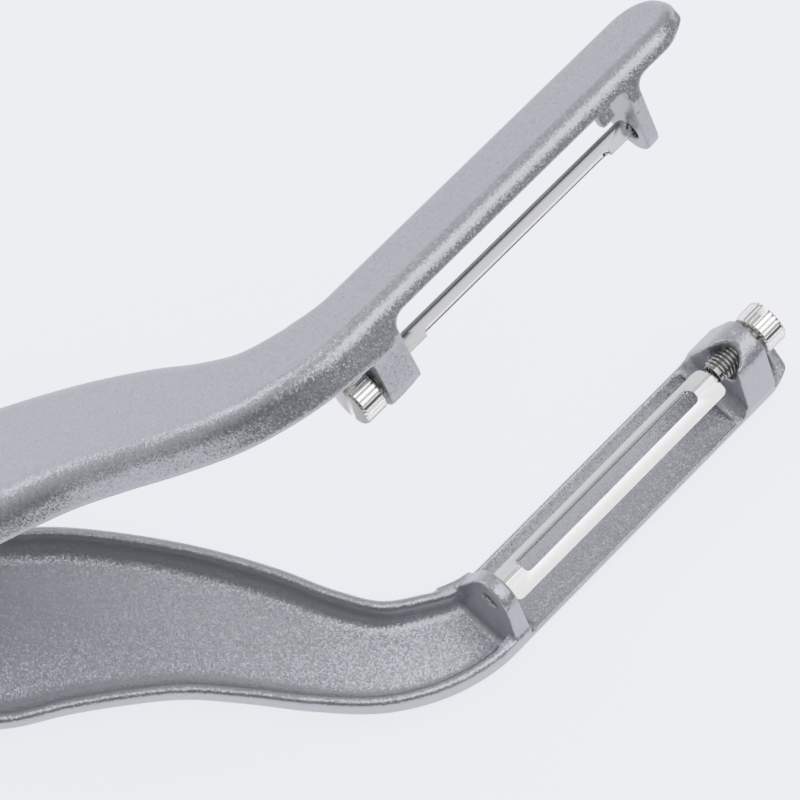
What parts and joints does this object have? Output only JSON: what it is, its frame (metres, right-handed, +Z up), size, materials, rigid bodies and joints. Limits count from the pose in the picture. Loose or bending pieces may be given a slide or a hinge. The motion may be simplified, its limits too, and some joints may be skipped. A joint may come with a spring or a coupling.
{
  "type": "tong vegetable peeler",
  "caption": "Sprung two-arm vegetable peeler: cast channel handles hinged at the back, each carrying a slotted blade that swivels between a lug and an adjusting screw.",
  "frame": {"origin": "on the flat back of the lower arm, under the swivel axis of its blade at the handle-side lug", "axes": "+Z up from the lower arm's back, which is the rest face, through its blade; +Y along the lower blade towards the tip; the hinge pin lies along Y at the back, at -X"},
  "size_m": [0.1203, 0.179, 0.0918],
  "materials": {
    "cast_metal": "satin silver-lacquered casting",
    "blade_steel": "polished stainless steel",
    "screw_plating": "bright nickel plating",
    "hinge_steel": "plain steel"
  },
  "bodies": {
    "lower_arm": {"lower_arm": "cast_metal", "hinge_pin": "hinge_steel", "hinge_spring": "hinge_steel"},
    "upper_arm": {"upper_arm": "cast_metal"},
    "lower_blade": {"lower_blade": "blade_steel"},
    "upper_blade": {"upper_blade": "blade_steel"},
    "lower_screw": {"lower_screw": "screw_plating"},
    "upper_screw": {"upper_screw": "screw_plating"}
  },
  "joints": [
    {"name": "arm_hinge", "type": "hinge", "parent": "lower_arm", "child": "upper_arm", "pos_m": [-0.1024, -0.0804, 0.008], "axis": [0, 1, 0], "range_deg": [0, 33], "stiffness_Nm_per_rad": 0.2, "springref_deg": -20.05, "deforming": ["hinge_spring"]},
    {"name": "lower_blade_swivel", "type": "hinge", "parent": "lower_arm", "child": "lower_blade", "pos_m": [0, 0.03, 0.0143], "axis": [0, 1, 0], "range_deg": [-28, 62]},
    {"name": "upper_blade_swivel", "type": "hinge", "parent": "upper_arm", "child": "upper_blade", "pos_m": [-0.02673, 0, 0.07728], "axis": [0, 1, 0], "range_deg": [-3, 87]},
    {"name": "lower_screw_turn", "type": "hinge", "parent": "lower_arm", "child": "lower_screw", "pos_m": [0, 0.064, 0.0143], "axis": [0, 1, 0], "continuous": true},
    {"name": "upper_screw_turn", "type": "hinge", "parent": "upper_arm", "child": "upper_screw", "pos_m": [-0.02673, 0, 0.07728], "axis": [0, 1, 0], "continuous": true}
  ]
}
